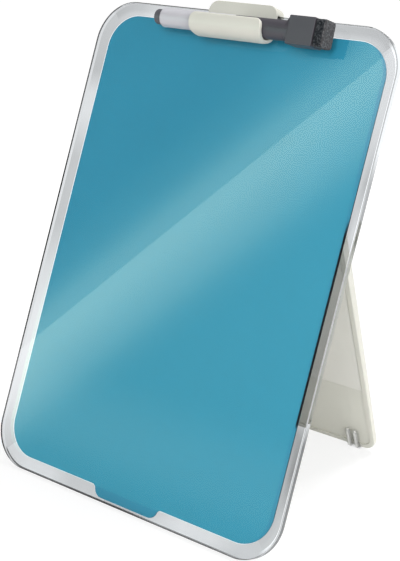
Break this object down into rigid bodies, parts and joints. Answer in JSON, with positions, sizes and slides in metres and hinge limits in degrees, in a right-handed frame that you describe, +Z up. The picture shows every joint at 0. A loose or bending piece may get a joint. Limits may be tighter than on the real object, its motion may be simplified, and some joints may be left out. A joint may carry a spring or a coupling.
{
  "type": "desktop glass whiteboard",
  "caption": "Clear-edged upright writing board with a blue A4 panel, a folding rear leg and a push-on pen holder with a capped marker that has a felt eraser.",
  "frame": {"origin": "on the table, under the middle of the whole object's box, with the leg open", "axes": "+Z up, +X across the board to the right as seen from its front, +Y from the front towards the leg"},
  "size_m": [0.2266, 0.171, 0.2962],
  "materials": {
    "clear_glass": "polished, with fine bevelled edges",
    "blue_panel": "smooth opaque sheet",
    "foam_tape": "fine foam",
    "cream_plastic": "satin moulded",
    "clear_silicone": "clear, slightly cloudy",
    "pin_steel": "ground",
    "pale_grey_plastic": "smooth moulded",
    "dark_grey_plastic": "satin moulded",
    "ink_fibre": "ink-soaked fibre",
    "eraser_felt": "pressed felt"
  },
  "bodies": {
    "board": {"glass_sheet": "clear_glass", "colour_panel": "blue_panel", "bonding_tape_left": "foam_tape", "bonding_tape_right": "foam_tape", "bonding_tape_bottom": "foam_tape", "bonding_tape_top": "foam_tape", "rear_cover": "cream_plastic", "front_foot": "clear_silicone"},
    "leg": {"leg_shell": "cream_plastic", "leg_liner": "cream_plastic", "leg_foot_left": "clear_silicone", "leg_foot_right": "clear_silicone", "hinge_pin": "pin_steel"},
    "holder": {"pen_holder": "cream_plastic"},
    "marker": {"marker_barrel": "pale_grey_plastic", "marker_tail_plug": "dark_grey_plastic", "ink_reservoir": "ink_fibre", "marker_nose": "dark_grey_plastic", "marker_nib": "ink_fibre"},
    "cap": {"cap_shell": "dark_grey_plastic", "eraser_felt": "eraser_felt"}
  },
  "joints": [
    {"name": "leg_fold", "type": "hinge", "parent": "board", "child": "leg", "pos_m": [0, 0.01585, 0.20322], "axis": [1, 0, 0], "range_deg": [-41.5, 0]},
    {"name": "holder_lift", "type": "slide", "parent": "board", "child": "holder", "axis": [0, 0.3939, 0.9191], "range_m": [0, 0.03]},
    {"name": "marker_lift", "type": "slide", "parent": "holder", "child": "marker", "axis": [0, 0.3939, 0.9191], "range_m": [0, 0.03]},
    {"name": "cap_pull", "type": "slide", "parent": "marker", "child": "cap", "axis": [1, 0, 0], "range_m": [0, 0.035]}
  ]
}
